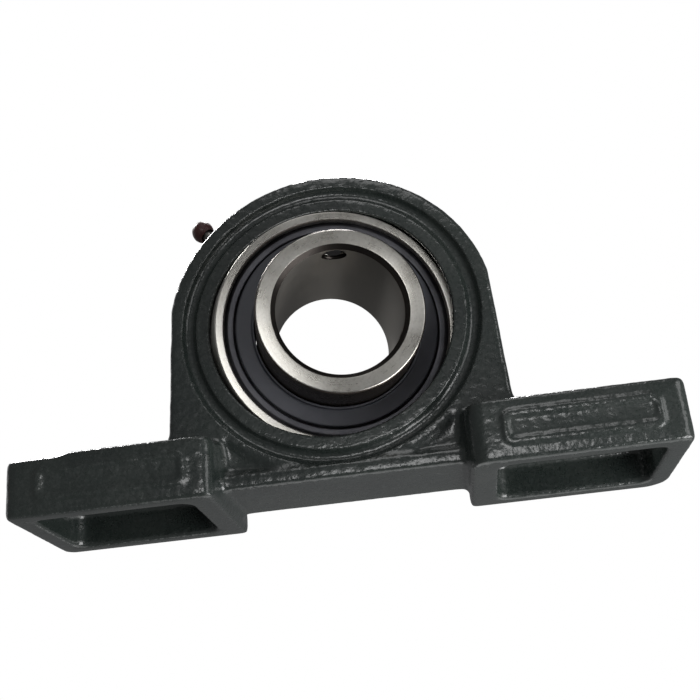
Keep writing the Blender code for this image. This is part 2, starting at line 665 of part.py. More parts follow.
def main():
    clear_scene()
    parts = new_collection("mounted_ball_bearing")
    cutters = new_collection("cutters")
    cast = material("cast iron, dark green paint", (0.035, 0.045, 0.040), 0.45)
    ring_steel = material("ground bearing steel", (0.55, 0.53, 0.49), 0.28, 1.0)
    ball_steel = material("polished bearing steel", (0.75, 0.75, 0.76), 0.08, 1.0)
    sheet_steel = material("pressed steel", (0.35, 0.35, 0.36), 0.40, 1.0)
    flinger_steel = material("blued steel", (0.12, 0.13, 0.17), 0.35, 1.0)
    rubber = material("seal rubber", (0.02, 0.02, 0.022), 0.60)
    screw_steel = material("black oxide steel", (0.04, 0.04, 0.045), 0.45, 1.0)
    nipple_steel = material("plated steel", (0.45, 0.44, 0.42), 0.35, 1.0)
    cap_plastic = material("red-brown plastic", (0.10, 0.035, 0.03), 0.35)

    centre = Matrix.Translation((0, SEAT_Y, SHAFT_HEIGHT))
    forward = Matrix.Rotation(math.radians(90), 4, "X")
    bore = empty("housing_bore", parts, centre @ forward)
    swivelled = centre @ Matrix.Rotation(SWIVEL, 4, SWIVEL_AXIS) @ forward
    insert = empty("insert_axis", parts, swivelled)
    radial = Matrix.Rotation(math.radians(90) - NIPPLE_ANGLE, 4, "Y")
    nipple_axis = empty("nipple_axis", parts, centre @ radial)

    housing(parts, cutters, cast, bore, nipple_axis)
    outer_ring(parts, cutters, ring_steel, insert)
    inner_ring(parts, cutters, ring_steel, insert)
    for name, angle in SCREW_ANGLES.items():
        set_screw(name, angle, parts, cutters, screw_steel, insert)
    for number in range(1, BALL_COUNT + 1):
        ball(number, parts, ball_steel, insert)
        rivet(number, parts, sheet_steel, insert)
    for place, side in (("front", 1), ("rear", -1)):
        cage_half("cage_" + place, side, parts, cutters, sheet_steel, insert)
        seal(place, side, parts, sheet_steel, rubber, insert)
        flinger(place, side, parts, flinger_steel, insert)
    grease_nipple(parts, cutters, nipple_steel, nipple_axis)
    ball_place = Matrix.Translation((0, 0, check_ball_height()))
    sphere(
        "nipple_check_ball", CHECK_BALL_R, ball_place, *BALL_FACETS, parts, nipple_axis, ball_steel,
    )
    check_spring(parts, screw_steel, nipple_axis)
    nipple_cap(parts, cap_plastic, nipple_axis)


main()
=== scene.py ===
"""Looks of the mounted ball bearing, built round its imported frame.

Each piece is modelled in its own axes and placed by the frame's joints. The insert's Z runs along
the shaft to the front and its X towards the first ball. The nipple's Z runs along the nipple.
Heights on both are counted from the seat's centre.
"""

import json
import math

import bmesh
import bpy
from mathutils import Euler, Matrix, Vector


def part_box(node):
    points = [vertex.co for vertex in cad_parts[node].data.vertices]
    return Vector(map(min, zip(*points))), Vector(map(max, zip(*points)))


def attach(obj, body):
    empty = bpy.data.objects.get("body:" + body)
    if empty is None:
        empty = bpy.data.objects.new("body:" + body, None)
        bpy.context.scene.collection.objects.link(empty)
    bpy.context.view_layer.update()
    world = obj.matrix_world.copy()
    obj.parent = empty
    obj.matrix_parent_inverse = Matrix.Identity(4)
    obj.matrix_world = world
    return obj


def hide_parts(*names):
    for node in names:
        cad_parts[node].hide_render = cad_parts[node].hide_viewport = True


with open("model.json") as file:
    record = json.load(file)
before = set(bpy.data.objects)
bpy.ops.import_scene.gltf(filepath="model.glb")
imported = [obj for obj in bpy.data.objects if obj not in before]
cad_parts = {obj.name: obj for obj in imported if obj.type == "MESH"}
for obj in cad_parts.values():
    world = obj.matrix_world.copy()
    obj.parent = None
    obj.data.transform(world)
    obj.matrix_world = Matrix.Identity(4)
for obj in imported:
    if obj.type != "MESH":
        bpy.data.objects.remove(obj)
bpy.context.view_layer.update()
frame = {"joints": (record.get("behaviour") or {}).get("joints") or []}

MM = 0.001
FULL_TURN = math.tau
FINE = 192  # sides of a large turned piece
MEDIUM = 96
SMALL = 48
OVERCUT = 2.0 * MM
MERGE = 0.0005 * MM
SMOOTH_ANGLE = math.radians(28)
CORNER_SHARE = 0.4  # of a profile's side, at the most, that a rounded corner takes
ROUNDING = {
    "outer_ring": 0.12 * MM, "inner_ring": 0.15 * MM, "carrier": 0.25 * MM, "lip": 0.12 * MM,
    "flinger": 0.45 * MM, "nipple": 0.15 * MM,
}

# Insert
BORE_R = 15.0 * MM
INNER_RING_R = 19.8 * MM
INNER_RING_FRONT = 22.2 * MM
INNER_RING_REAR = 15.9 * MM
BORE_CHAMFER = 1.15 * MM
RING_CHAMFER = 0.4 * MM
BALL_R = 4.7625 * MM
BALL_COUNT, BALL_SIDES = 9, 64
CLEARANCE = 0.3 * MM
GROOVE_R = BALL_R + CLEARANCE
OUTER_RING_R = 31.0 * MM
OUTER_RING_HALF = 9.5 * MM
OUTER_RING_CHAMFER = 0.25 * MM
OUTER_BORE_R = 26.3 * MM
SEAL_MOUTH_R = 27.3 * MM
SEAL_GROOVE_R = 27.9 * MM
SEAL_MOUTH_CHAMFER, SEAL_MOUTH_LIP = 0.3 * MM, 0.5 * MM
SEAL_IN, SEAL_OUT, SEAL_RIM = 6.5 * MM, 7.3 * MM, 8.1 * MM
CARRIER_BORE_R, CARRIER_STEP_R = 22.4 * MM, 24.8 * MM
CARRIER_RIM_R = (25.1 * MM, 26.5 * MM)
LIP_R, LIP_ROOT_R, LIP_EDGE = 22.1 * MM, 21.0 * MM, (6.9 * MM, 7.2 * MM)
LUBE_HOLE_R, LUBE_HOLE_Z = 0.9 * MM, -5.0 * MM
FLINGER_R = 24.6 * MM
FLINGER_IN, FLINGER_OUT, FLINGER_RIM = 8.0 * MM, 8.7 * MM, 7.7 * MM
FLINGER_COLLAR, FLINGER_SHEET = 10.2 * MM, 0.5 * MM
CAGE_R, CAGE_SHEET = (20.8 * MM, 25.2 * MM), 0.8 * MM
RIVET_R, RIVET_HEAD_R, RIVET_HEAD = 0.6 * MM, 1.1 * MM, 0.5 * MM
SCREW_ANGLES = {"top": 90.0, "side": -30.0}
SCREW_Z = 17.9 * MM
SCREW_R, SCREW_HOLE_R = 2.6 * MM, 2.9 * MM
SCREW_TOP, SCREW_LENGTH = 19.7 * MM, 4.2 * MM
SCREW_CHAMFER, SCREW_CUP = 0.4 * MM, 0.8 * MM
HEX_KEY, SOCKET_DEPTH, SOCKET_FLARE = 3.0 * MM, 2.2 * MM, 0.25 * MM
FLARE_FOOT = 0.88  # of the key's radius over its corners
THREAD_PITCH, THREAD_DEPTH = 0.8 * MM, 0.22 * MM
# Soft edge of the painted shade on the bore's chamfer, and half width of the painted shade band on
# the land
SHADE_EDGE, LAND_SHADE_HALF = 0.04 * MM, 0.28 * MM

# Housing: heights are over the base, but WALL_TOP is over the shaft and SEAT_MOUTH_Z runs along it
DOME_R = 40.0 * MM
HUB_HALF = 11.0 * MM
WALL_X, WALL_FOOT_Z, WALL_TAPER, WALL_TOP = 40.5 * MM, 20.0 * MM, 0.042, 8.0 * MM
WALL_FILLET = 5.0 * MM
BASE_HALF_DEPTH = 19.5 * MM
FOOT_HEIGHT, FOOT_INNER_X = 14.6 * MM, 28.5 * MM
FOOT_CORNER_FRONT, FOOT_CORNER_BACK = 2.5 * MM, {"right": 6.0 * MM, "left": 3.0 * MM}
FOOT_CORNER_INNER = {"right": 4.5 * MM, "left": 2.5 * MM}
END_STEP, END_STEP_X = 0.8 * MM, 63.5 * MM
WEB_UNDER = 3.0 * MM
RAIL_TOP, RAIL_HALF = 6.3 * MM, 12.0 * MM
POCKET_X, POCKET_HALF = (35.2 * MM, 71.8 * MM), 14.2 * MM
POCKET_DEPTH, POCKET_CORNER = 9.0 * MM, 3.0 * MM
BOLT_X, SLOT_HALF_WIDTH, SLOT_HALF_LENGTH = 59.0 * MM, 8.5 * MM, 10.5 * MM
SEAT_R, SEAT_MOUTH_Z = 31.3 * MM, 10.6 * MM
GREASE_GROOVE_HALF, GREASE_GROOVE_DEPTH = 1.5 * MM, 1.0 * MM
RING_GROOVE_R, RING_GROOVE_DEPTH = (33.0 * MM, 36.3 * MM), 1.6 * MM
NOTCH_HALF = 9.8 * MM
SMALL_CORNER = 1.0 * MM
BOSS_R = 38.6 * MM  # outside of it the web's lower corners are sunk
PANEL_X, PANEL_LOW, PANEL_DEPTH = 27.8 * MM, 7.2 * MM, 1.2 * MM
BORDER_X = {"left": (-69.5 * MM, -34.5 * MM), "right": (36.5 * MM, 71.0 * MM)}
BORDER_Z, BORDER_LINE, BORDER_CORNERS = (3.4 * MM, 11.2 * MM), 1.4 * MM, (2.0 * MM, 1.2 * MM)
BORDER_RELIEF = {"left": 0.32 * MM, "right": 0.5 * MM}
ROUGH_VOXEL, CASTING_VOXEL = 0.6 * MM, 0.42 * MM
FILLET_PASSES, TRIM_PASSES = 18, 9
RELIEF_SIZES, RELIEF = {"waves": 4.0 * MM, "pits": 1.6 * MM}, 0.09 * MM
TRUE_ROUND_SEAT, TRUE_BASE, TRUE_NIPPLE_Z = 0.8 * MM, 0.2 * MM, 30.0 * MM  # where relief stops

# Nipple
STEM_R, STEM_START, STEM_CHAMFER = 2.7 * MM, 34.4 * MM, 0.5 * MM
DUCT_R = 1.2 * MM
SPOT_FACE, SPOT_FACE_R = 40.0 * MM, 4.6 * MM
HEX_R, HEX_TOP = 4.0 * MM, 43.2 * MM
HEX_CHAMFER, HEX_CHAMFER_SHARE, HEX_MARGIN = 0.3 * MM, 0.9, 0.1 * MM
NECK_R, NECK_TOP = 1.3 * MM, 45.0 * MM
HEAD_R, HEAD_TOP, HEAD_FACE_R = 1.7 * MM, 49.5 * MM, 1.1 * MM
HEAD_TAPER, HEAD_BAND = 0.9 * MM, 2.4 * MM
CHAMBER_R, CHAMBER_TOP, CHAMBER_FOOT, CHAMBER_CONE = 0.95 * MM, 48.3 * MM, 35.2 * MM, 0.3 * MM
MOUTH_R = 0.45 * MM
CHECK_BALL_R, CHECK_BALL_Z = 0.65 * MM, 47.35 * MM
SPRING_R, SPRING_WIRE_R, SPRING_TURNS, SPRING_STEPS = 0.54 * MM, 0.1 * MM, 6, 32
SPRING_Z = (36.4 * MM, 46.3 * MM)
CAP_R, CAP_Z, CAP_BORE_R, CAP_WALL = 2.85 * MM, 48.0 * MM, 2.0 * MM, 0.3 * MM
CAP_ROOF = HEAD_TOP + CLEARANCE
PARTING_HALF, PARTING_RIDGE = 0.06 * MM, 0.03 * MM
GATE_R, GATE_DEPTH = 0.5 * MM, 0.12 * MM

# Paint, which runs thicker along rounded edges: how far it is glossier and more textured there
EDGE_GLOSS, EDGE_TEXTURE = 0.7, 1.6

# Floor: its half width, where its fading starts and ends, and its gap under the base, in metres
FLOOR_REACH, FLOOR_NEAR, FLOOR_FAR, FLOOR_GAP = 6.0, 0.15, 1.0, 0.05 * MM

# Camera, from the seat's centre, as fitted to the photograph
CAMERA_OFFSET = Vector((21.45, -228.24, -104.48)) * MM
CAMERA_TURN = (109.796, 5.032, 6.748)
CAMERA_LENS, CAMERA_SHIFT_Y = 51.44, 0.100


# Places


def axes(origin, z, x):
    """A placing matrix from an origin, a Z direction and a direction to put X towards."""
    z = z.normalized()
    y = z.cross(x).normalized()
    turn = Matrix((y.cross(z), y, z)).transposed()
    return Matrix.Translation(origin) @ turn.to_4x4()


JOINTS = {joint["name"]: joint for joint in frame["joints"]}
CENTRE = Vector(JOINTS["insert_swivel"]["pos_m"])
FIRST_BALL = Vector(JOINTS["ball_1_spin"]["pos_m"]) - CENTRE
PITCH_R = FIRST_BALL.length
FRONT = Vector((0, -1, 0))
RIGHT = Vector((1, 0, 0))
INSERT_Z = Vector(JOINTS["inner_ring_spin"]["axis"])
INSERT = axes(CENTRE, INSERT_Z, FIRST_BALL)
# The inner ring sets the object's depth, and with a level X its own box is no deeper than the ring
INSERT_LEVEL = axes(CENTRE, INSERT_Z, INSERT_Z.cross(FRONT))
UPRIGHT = axes(CENTRE, FRONT, RIGHT)
ELEVATION = axes(Vector((0, CENTRE.y, 0)), FRONT, RIGHT)
NIPPLE_Z = Vector(JOINTS["nipple_cap_pull"]["axis"])
NIPPLE = axes(CENTRE, NIPPLE_Z, FRONT)
PLAN = Matrix.Translation((0, CENTRE.y, 0))
BASE_HALF_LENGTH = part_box("housing")[1].x


def across(angle, height):
    """In the insert's axes: turns a piece's Z outwards along a radius, at an angle in degrees."""
    turn = Matrix.Rotation(math.radians(angle), 4, "Z") @ Matrix.Rotation(math.radians(90), 4, "Y")
    return Matrix.Translation((0, 0, height)) @ turn


def on_pitch_circle(steps):
    """A place on the balls' circle, that many ball spacings from the first ball."""
    turn = Matrix.Rotation(FULL_TURN * steps / BALL_COUNT, 4, "Z")
    return INSERT @ turn @ Matrix.Translation((PITCH_R, 0, 0))


# Outlines and profiles


def arc(centre, radius, start, end, count):
    """Points round a centre, from the angle start to end in degrees."""
    angles = [math.radians(start + (end - start) * i / count) for i in range(count + 1)]
    return [(centre[0] + radius * math.cos(a), centre[1] + radius * math.sin(a)) for a in angles]


def mirrored(outline):
    return [(-x, y) for x, y in reversed(outline)]


def facing(side, profile):
    """A profile drawn for the front (side 1), or mirrored for the rear (side -1)."""
    return profile if side > 0 else [(r, -z) for r, z in reversed(profile)]


def rounded(profile, radius):
    """Rounds the sharp corners of a closed profile, apart from those on the axis."""
    points = []
    count = len(profile)
    for i, here in enumerate(profile):
        corner = Vector(here)
        before = Vector(profile[i - 1]) - corner
        after = Vector(profile[(i + 1) % count]) - corner
        straight = before.length < MERGE or after.length < MERGE or here[0] == 0
        if straight or abs(math.pi - before.angle(after)) < SMOOTH_ANGLE:
            points.append(here)
            continue
        reach = min(radius, CORNER_SHARE * before.length, CORNER_SHARE * after.length)
        start = corner + before.normalized() * reach
        end = corner + after.normalized() * reach
        for t in (0.0, 0.25, 0.5, 0.75, 1.0):
            point = start * (1 - t) ** 2 + corner * 2 * t * (1 - t) + end * t ** 2
            points.append(tuple(point))
    return points


def rounded_rectangle(low, high, half, corner, middle=0.0):
    """From low to high in X and half to each side of the middle in Y."""
    points = []
    for x, y, start in (
        (high - corner, corner - half, -90), (high - corner, half - corner, 0),
        (low + corner, half - corner, 90), (low + corner, corner - half, 180),
    ):
        points += arc((x, y + middle), corner, start, start + 90, 6)
    return points


# Mesh making


def new_piece(name, mesh, place):
    piece = bpy.data.objects.new(name, mesh)
    bpy.context.scene.collection.objects.link(piece)
    piece.matrix_world = place
    return piece


def tidied(mesh):
    """Merges doubled points, turns the faces outwards and keeps only the sharp edges sharp."""
    shape = bmesh.new()
    shape.from_mesh(mesh)
    bmesh.ops.remove_doubles(shape, verts=shape.verts, dist=MERGE)
    bmesh.ops.recalc_face_normals(shape, faces=shape.faces)
    shape.to_mesh(mesh)
    shape.free()
    mesh.shade_smooth()
    mesh.set_sharp_from_angle(angle=SMOOTH_ANGLE)


def turned(name, profile, place, sides=FINE):
    """Turns a closed profile of (radius, height) points round Z."""
    count = len(profile)
    points = []
    for i in range(sides):
        angle = FULL_TURN * i / sides
        points += [(r * math.cos(angle), r * math.sin(angle), z) for r, z in profile]
    faces = []
    for i in range(sides):
        here, following = i * count, ((i + 1) % sides) * count
        for j in range(count):
            k = (j + 1) % count
            if profile[j][0] == 0 and profile[k][0] == 0:
                continue
            faces.append((here + j, following + j, following + k, here + k))
    mesh = bpy.data.meshes.new(name)
    mesh.from_pydata(points, [], faces)
    tidied(mesh)
    return new_piece(name, mesh, place)


def rod(name, radius, low, high, place, sides=SMALL):
    """A plain cutter for a round hole."""
    return turned(name, [(0, high), (radius, high), (radius, low), (0, low)], place, sides)


def extruded(name, outline, low, high, place):
    """A flat outline in XY as a solid from the height low to high."""
    shape = bmesh.new()
    face = shape.faces.new([shape.verts.new((x, y, low)) for x, y in outline])
    top = bmesh.ops.extrude_face_region(shape, geom=[face])["geom"]
    moved = [part for part in top if isinstance(part, bmesh.types.BMVert)]
    bmesh.ops.translate(shape, verts=moved, vec=(0, 0, high - low))
    mesh = bpy.data.meshes.new(name)
    shape.to_mesh(mesh)
    shape.free()
    tidied(mesh)
    return new_piece(name, mesh, place)


def ball_shape(name, radius, place, sides=SMALL):
    profile = arc((0, 0), radius, 90, -90, sides // 2)
    profile[0], profile[-1] = (0, radius), (0, -radius)
    return turned(name, profile, place, sides)


def threaded(name, radius, depth, low, high, place):
    """A rod whose surface runs between radius and radius + depth in a helical thread."""
    rows_per_turn, sides = 8, SMALL
    rows = round((high - low) / THREAD_PITCH * rows_per_turn)
    profile_rows = []
    for row in range(rows + 1):
        z = low + (high - low) * row / rows
        ring = []
        for i in range(sides):
            phase = (z / THREAD_PITCH - i / sides) % 1.0
            r = radius + depth * abs(2 * phase - 1)
            angle = FULL_TURN * i / sides
            ring.append((r * math.cos(angle), r * math.sin(angle), z))
        profile_rows.append(ring)
    points = [point for ring in profile_rows for point in ring]
    faces = [tuple(range(sides)), tuple(range(rows * sides, (rows + 1) * sides))]
    for row in range(rows):
        for i in range(sides):
            a, b = row * sides + i, row * sides + (i + 1) % sides
            faces.append((a, b, b + sides, a + sides))
    mesh = bpy.data.meshes.new(name)
    mesh.from_pydata(points, [], faces)
    tidied(mesh)
    return new_piece(name, mesh, place)


def applied(piece):
    """Applies a piece's modifiers to its mesh."""
    bpy.context.view_layer.update()
    depsgraph = bpy.context.evaluated_depsgraph_get()
    mesh = bpy.data.meshes.new_from_object(piece.evaluated_get(depsgraph))
    piece.modifiers.clear()
    piece.data = mesh


def modify(piece, kind, **settings):
    made = piece.modifiers.new(kind.title(), kind)
    for key, value in settings.items():
        setattr(made, key, value)
    applied(piece)


def combine(piece, tool, operation="DIFFERENCE"):
    """Cuts with a tool, joins it or keeps what it covers, and removes the tool."""
    modify(piece, "BOOLEAN", operation=operation, object=tool, solver="MANIFOLD")
    bpy.data.objects.remove(tool)


def sharpened(piece):
    piece.data.shade_smooth()
    piece.data.set_sharp_from_angle(angle=SMOOTH_ANGLE)


# Node trees


def add_node(tree, kind, **settings):
    """A new node. A setting that starts with in_ is a socket, and any other an attribute."""
    made = tree.nodes.new("ShaderNode" + kind)
    for key, value in settings.items():
        if key.startswith("in_"):
            socket = key[3:]
            made.inputs[int(socket) if socket.isdigit() else socket].default_value = value
        else:
            setattr(made, key, value)
    return made


def new_material(name, colour, roughness, metallic=0.0, **constants):
    """A material, its node tree and its main shader, with the shader's constant sockets set."""
    material = bpy.data.materials.new(name)
    material.use_nodes = True
    tree = material.node_tree
    shader = tree.nodes["Principled BSDF"]
    shader.inputs["Base Color"].default_value = (*colour, 1)
    shader.inputs["Roughness"].default_value = roughness
    shader.inputs["Metallic"].default_value = metallic
    for socket, value in constants.items():
        shader.inputs[socket.replace("_", " ")].default_value = value
    return material, tree, shader


def noise(tree, coordinates, scale, detail=3.0, roughness=0.5):
    made = add_node(tree, "TexNoise", in_Scale=scale, in_Detail=detail, in_Roughness=roughness)
    tree.links.new(coordinates, made.inputs["Vector"])
    return made.outputs["Fac"]


def ramp(tree, value, *stops):
    """A colour ramp through (position, colour or grey) stops."""
    made = add_node(tree, "ValToRGB")
    elements = made.color_ramp.elements
    while len(elements) < len(stops):
        elements.new(0.5)
    for element, (position, colour) in zip(elements, stops):
        element.position = position
        element.color = (colour, colour, colour, 1) if isinstance(colour, float) else (*colour, 1)
    tree.links.new(value, made.inputs["Fac"])
    return made.outputs["Color"]


def maths(tree, operation, a, b=0.0, c=None):
    made = add_node(tree, "Math", operation=operation)
    for socket, value in zip(made.inputs, (a, b, c)):
        if isinstance(value, bpy.types.NodeSocket):
            tree.links.new(value, socket)
        elif value is not None:
            socket.default_value = value
    return made.outputs[0]


def mixed(tree, factor, a, b, blend="MIX"):
    """Mixes two colours by a factor. Each may be a socket or a value."""
    made = add_node(tree, "Mix", data_type="RGBA", blend_type=blend)
    for index, value in ((0, factor), (6, a), (7, b)):
        if isinstance(value, bpy.types.NodeSocket):
            tree.links.new(value, made.inputs[index])
        elif isinstance(value, float):
            made.inputs[index].default_value = value
        else:
            made.inputs[index].default_value = (*value, 1)
    return made.outputs[2]


def bump(tree, shader, height, distance):
    """Raises the surface and its coat by a height, at the most by a distance."""
    made = add_node(tree, "Bump", in_Distance=distance)
    tree.links.new(height, made.inputs["Height"])
    for socket in ("Normal", "Coat Normal"):
        tree.links.new(made.outputs["Normal"], shader.inputs[socket])


def object_coordinates(tree):
    return add_node(tree, "TexCoord").outputs["Object"]


def from_axis(tree, coordinates):
    """The distance from a piece's own Z."""
    flat = add_node(tree, "VectorMath", operation="MULTIPLY")
    flat.inputs[1].default_value = (1, 1, 0)
    tree.links.new(coordinates, flat.inputs[0])
    length = add_node(tree, "VectorMath", operation="LENGTH")
    tree.links.new(flat.outputs[0], length.inputs[0])
    return length.outputs["Value"]


def turning_marks(tree, coordinates, radius):
    """Fine rings round a turned piece's Z: noise that changes only with radius and height."""
    split = add_node(tree, "SeparateXYZ")
    tree.links.new(coordinates, split.inputs[0])
    section = add_node(tree, "CombineXYZ")
    tree.links.new(radius, section.inputs[0])
    tree.links.new(split.outputs[2], section.inputs[1])
    return noise(tree, section.outputs[0], 5200.0, 4.0, 0.6)


# Materials


def painted_casting():
    """Dark green-grey paint over a rough casting: orange peel, gloss specks and worn edges."""
    material, tree, shader = new_material(
        "painted cast iron", (0.02, 0.026, 0.024), 0.4,
        Coat_Weight=0.9, Coat_Roughness=0.15, Specular_IOR_Level=0.45,
    )
    where = object_coordinates(tree)
    patches = noise(tree, where, 55.0, 4.0)
    grain = noise(tree, where, 1500.0, 3.0, 0.5)
    peel = noise(tree, where, 480.0, 2.0)
    specks = noise(tree, where, 1500.0, 2.0, 0.6)
    tint = ramp(
        tree, patches, (0.30, (0.013, 0.018, 0.017)), (0.55, (0.020, 0.027, 0.024)),
        (0.75, (0.030, 0.036, 0.033)),
    )
    dusty = mixed(tree, ramp(tree, grain, (0.55, 0.0), (0.75, 0.2)), tint, (0.075, 0.078, 0.074))
    edges = add_node(tree, "NewGeometry").outputs["Pointiness"]
    worn = ramp(tree, edges, (0.51, 0.0), (0.57, 0.25))
    tree.links.new(mixed(tree, worn, dusty, (0.11, 0.115, 0.11)), shader.inputs["Base Color"])
    on_edge = ramp(tree, edges, (0.505, 0.0), (0.545, 1.0))
    gloss = ramp(tree, specks, (0.35, 0.26), (0.55, 0.38), (0.75, 0.50))
    thick_paint = maths(tree, "MULTIPLY", on_edge, EDGE_GLOSS)
    tree.links.new(mixed(tree, thick_paint, gloss, (0.16, 0.16, 0.16)), shader.inputs["Roughness"])
    height = maths(tree, "MULTIPLY_ADD", peel, 1.2, maths(tree, "MULTIPLY", grain, 0.35))
    rougher = maths(tree, "MULTIPLY_ADD", on_edge, EDGE_TEXTURE, 1.0)
    bump(tree, shader, maths(tree, "MULTIPLY", height, rougher), 0.1 * MM)
    return material


def ground_steel():
    """Ground steel with circular marks and smudges, and painted shade: darker in the bore, on the
    bore's chamfer and on the land.
    """
    material, tree, shader = new_material(
        "ground bearing steel", (0.60, 0.585, 0.555), 0.3, 1.0, Anisotropic=0.7,
        Anisotropic_Rotation=0.25,
    )
    where = object_coordinates(tree)
    radius = from_axis(tree, where)
    marks = turning_marks(tree, where, radius)
    smudges = noise(tree, where, 90.0, 5.0, 0.65)
    speckle = noise(tree, where, 1400.0, 3.0, 0.6)
    tone = ramp(
        tree, smudges, (0.35, (0.50, 0.48, 0.435)), (0.55, (0.62, 0.605, 0.562)),
        (0.75, (0.67, 0.655, 0.622)),
    )
    fleck = ramp(tree, speckle, (0.35, 0.35), (0.5, 0.0))
    tone = mixed(tree, fleck, tone, (0.40, 0.38, 0.35))
    tone = mixed(tree, ramp(tree, marks, (0.35, 0.0), (0.7, 0.18)), tone, (0.38, 0.36, 0.33))
    # Painted shade: the bore gets a much darker brown-grey than the face, standing in for the shade
    # inside the ring
    in_bore = maths(tree, "LESS_THAN", radius, BORE_R + BORE_CHAMFER)
    bore_painted_shade = mixed(tree, smudges, (0.175, 0.163, 0.146), (0.262, 0.248, 0.227))
    tone = mixed(tree, in_bore, tone, bore_painted_shade)
    # Painted shade: the bore's chamfer is coloured near black, for the thin dark line of shade at
    # the ring's inner edge
    half_chamfer = BORE_CHAMFER / 2
    on_chamfer = maths(tree, "COMPARE", radius, BORE_R + half_chamfer, half_chamfer - SHADE_EDGE)
    # Painted shade: a dark band round the inner ring's land and the edge of its chamfer, in place of
    # shade and a dimmed highlight there
    on_land = maths(tree, "COMPARE", radius, INNER_RING_R, LAND_SHADE_HALF)
    land_painted_shade = mixed(tree, speckle, (0.075, 0.062, 0.055), (0.14, 0.12, 0.105))
    tone = mixed(tree, on_land, tone, land_painted_shade)
    chamfer_painted_shade = mixed(tree, speckle, (0.030, 0.026, 0.024), (0.055, 0.049, 0.045))
    tree.links.new(mixed(tree, on_chamfer, tone, chamfer_painted_shade), shader.inputs["Base Color"])
    rough = maths(tree, "MULTIPLY_ADD", smudges, 0.18, maths(tree, "MULTIPLY", marks, 0.12))
    rough = maths(tree, "MULTIPLY_ADD", in_bore, 0.10, rough)
    tree.links.new(maths(tree, "ADD", rough, 0.14), shader.inputs["Roughness"])
    bump(tree, shader, maths(tree, "ADD", marks, speckle), 0.003 * MM)
    tangent = add_node(tree, "Tangent", direction_type="RADIAL", axis="Z")
    tree.links.new(tangent.outputs[0], shader.inputs["Tangent"])
    return material


def turned_metal(name, light, dark, roughness, metallic=1.0, marks_depth=0.003 * MM, **constants):
    """Plain turned or pressed metal: two tones in patches, with fine circular marks."""
    material, tree, shader = new_material(name, light, roughness, metallic, **constants)
    where = object_coordinates(tree)
    marks = turning_marks(tree, where, from_axis(tree, where))
    patches = noise(tree, where, 160.0, 5.0, 0.6)
    tone = mixed(tree, ramp(tree, patches, (0.35, 0.0), (0.7, 1.0)), dark, light)
    tree.links.new(tone, shader.inputs["Base Color"])
    varied = maths(tree, "MULTIPLY_ADD", patches, 0.16, roughness - 0.08)
    tree.links.new(varied, shader.inputs["Roughness"])
    bump(tree, shader, marks, marks_depth)
    return material


def grained(name, light, dark, roughness, scale, depth, **constants):
    """Moulded rubber or plastic: a soft two-tone drift and a fine grain."""
    material, tree, shader = new_material(name, light, roughness, **constants)
    where = object_coordinates(tree)
    drift = noise(tree, where, scale / 8, 3.0)
    grain = noise(tree, where, scale, 4.0, 0.6)
    tree.links.new(mixed(tree, drift, dark, light), shader.inputs["Base Color"])
    varied = maths(tree, "MULTIPLY_ADD", grain, 0.2, roughness - 0.1)
    tree.links.new(varied, shader.inputs["Roughness"])
    bump(tree, shader, grain, depth)
    return material


MATERIALS = {
    "painted_casting": painted_casting(),
    "ring_steel": ground_steel(),
    "ball_steel": turned_metal(
        "polished ball steel", (0.78, 0.78, 0.79), (0.70, 0.70, 0.71), 0.12,
        marks_depth=0.0004 * MM,
    ),
    "cage_steel": turned_metal("pressed cage steel", (0.46, 0.45, 0.44), (0.30, 0.29, 0.28), 0.40),
    "seal_steel": turned_metal("pressed seal steel", (0.15, 0.15, 0.165), (0.09, 0.09, 0.10), 0.5),
    "flinger_steel": turned_metal(
        "blued flinger steel", (0.072, 0.074, 0.086), (0.052, 0.054, 0.065), 0.5, 0.2,
        Anisotropic=0.3,
    ),
    "screw_steel": turned_metal("black oxide steel", (0.06, 0.06, 0.065), (0.03, 0.03, 0.032), 0.42),
    "nipple_steel": turned_metal("zinc plated steel", (0.38, 0.37, 0.34), (0.25, 0.245, 0.23), 0.36),
    "spring_steel": turned_metal("spring wire", (0.34, 0.33, 0.33), (0.24, 0.24, 0.24), 0.35),
    "seal_rubber": grained(
        "seal rubber", (0.020, 0.020, 0.022), (0.012, 0.012, 0.013), 0.6, 2400.0, 0.02 * MM,
    ),
    "cap_plastic": grained(
        "red-brown moulded plastic", (0.085, 0.030, 0.028), (0.050, 0.017, 0.018), 0.42,
        1500.0, 0.015 * MM, Specular_IOR_Level=0.45,
    ),
}


def finished(piece, node, body, slot):
    """Gives a piece its material and its body, and hides the CAD node that it stands for."""
    piece.data.materials.clear()
    piece.data.materials.append(MATERIALS[slot])
    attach(piece, body)
    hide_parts(node)


# Housing


def plate_outline():
    """The upright plate from the front, as (x, height over the base)."""
    shaft_height = CENTRE.z
    top_x = WALL_X - WALL_TAPER * (shaft_height + WALL_TOP - WALL_FOOT_Z)
    meet = math.degrees(math.acos(top_x / DOME_R))
    fillet = (WALL_X + WALL_FILLET, FOOT_HEIGHT + WALL_FILLET)
    right = [(WALL_X + WALL_FILLET, WEB_UNDER), *arc(fillet, WALL_FILLET, 270, 180, 10)]
    right += arc((0, shaft_height), DOME_R, meet, 90, 60)
    return right + mirrored(right[:-1])


def foot_outline(corner_back, corner_inner):
    """The right foot from above. Its lip by the hub's front is rounded too."""
    end, half, front = BASE_HALF_LENGTH, BASE_HALF_DEPTH, FOOT_CORNER_FRONT
    back_arc = arc((end - corner_back, half - corner_back), corner_back, 90, 0, 8)
    front_arc = arc((end - front, front - half), front, 0, -90, 8)
    lip = arc((FOOT_INNER_X + corner_inner, corner_inner - half), corner_inner, 270, 180, 8)
    return [*lip, (FOOT_INNER_X, half), *back_arc, *front_arc]


def slot_outline():
    run = SLOT_HALF_LENGTH - SLOT_HALF_WIDTH
    right = arc((BOLT_X + run, 0), SLOT_HALF_WIDTH, -90, 90, 24)
    return right + arc((BOLT_X - run, 0), SLOT_HALF_WIDTH, 90, 270, 24)


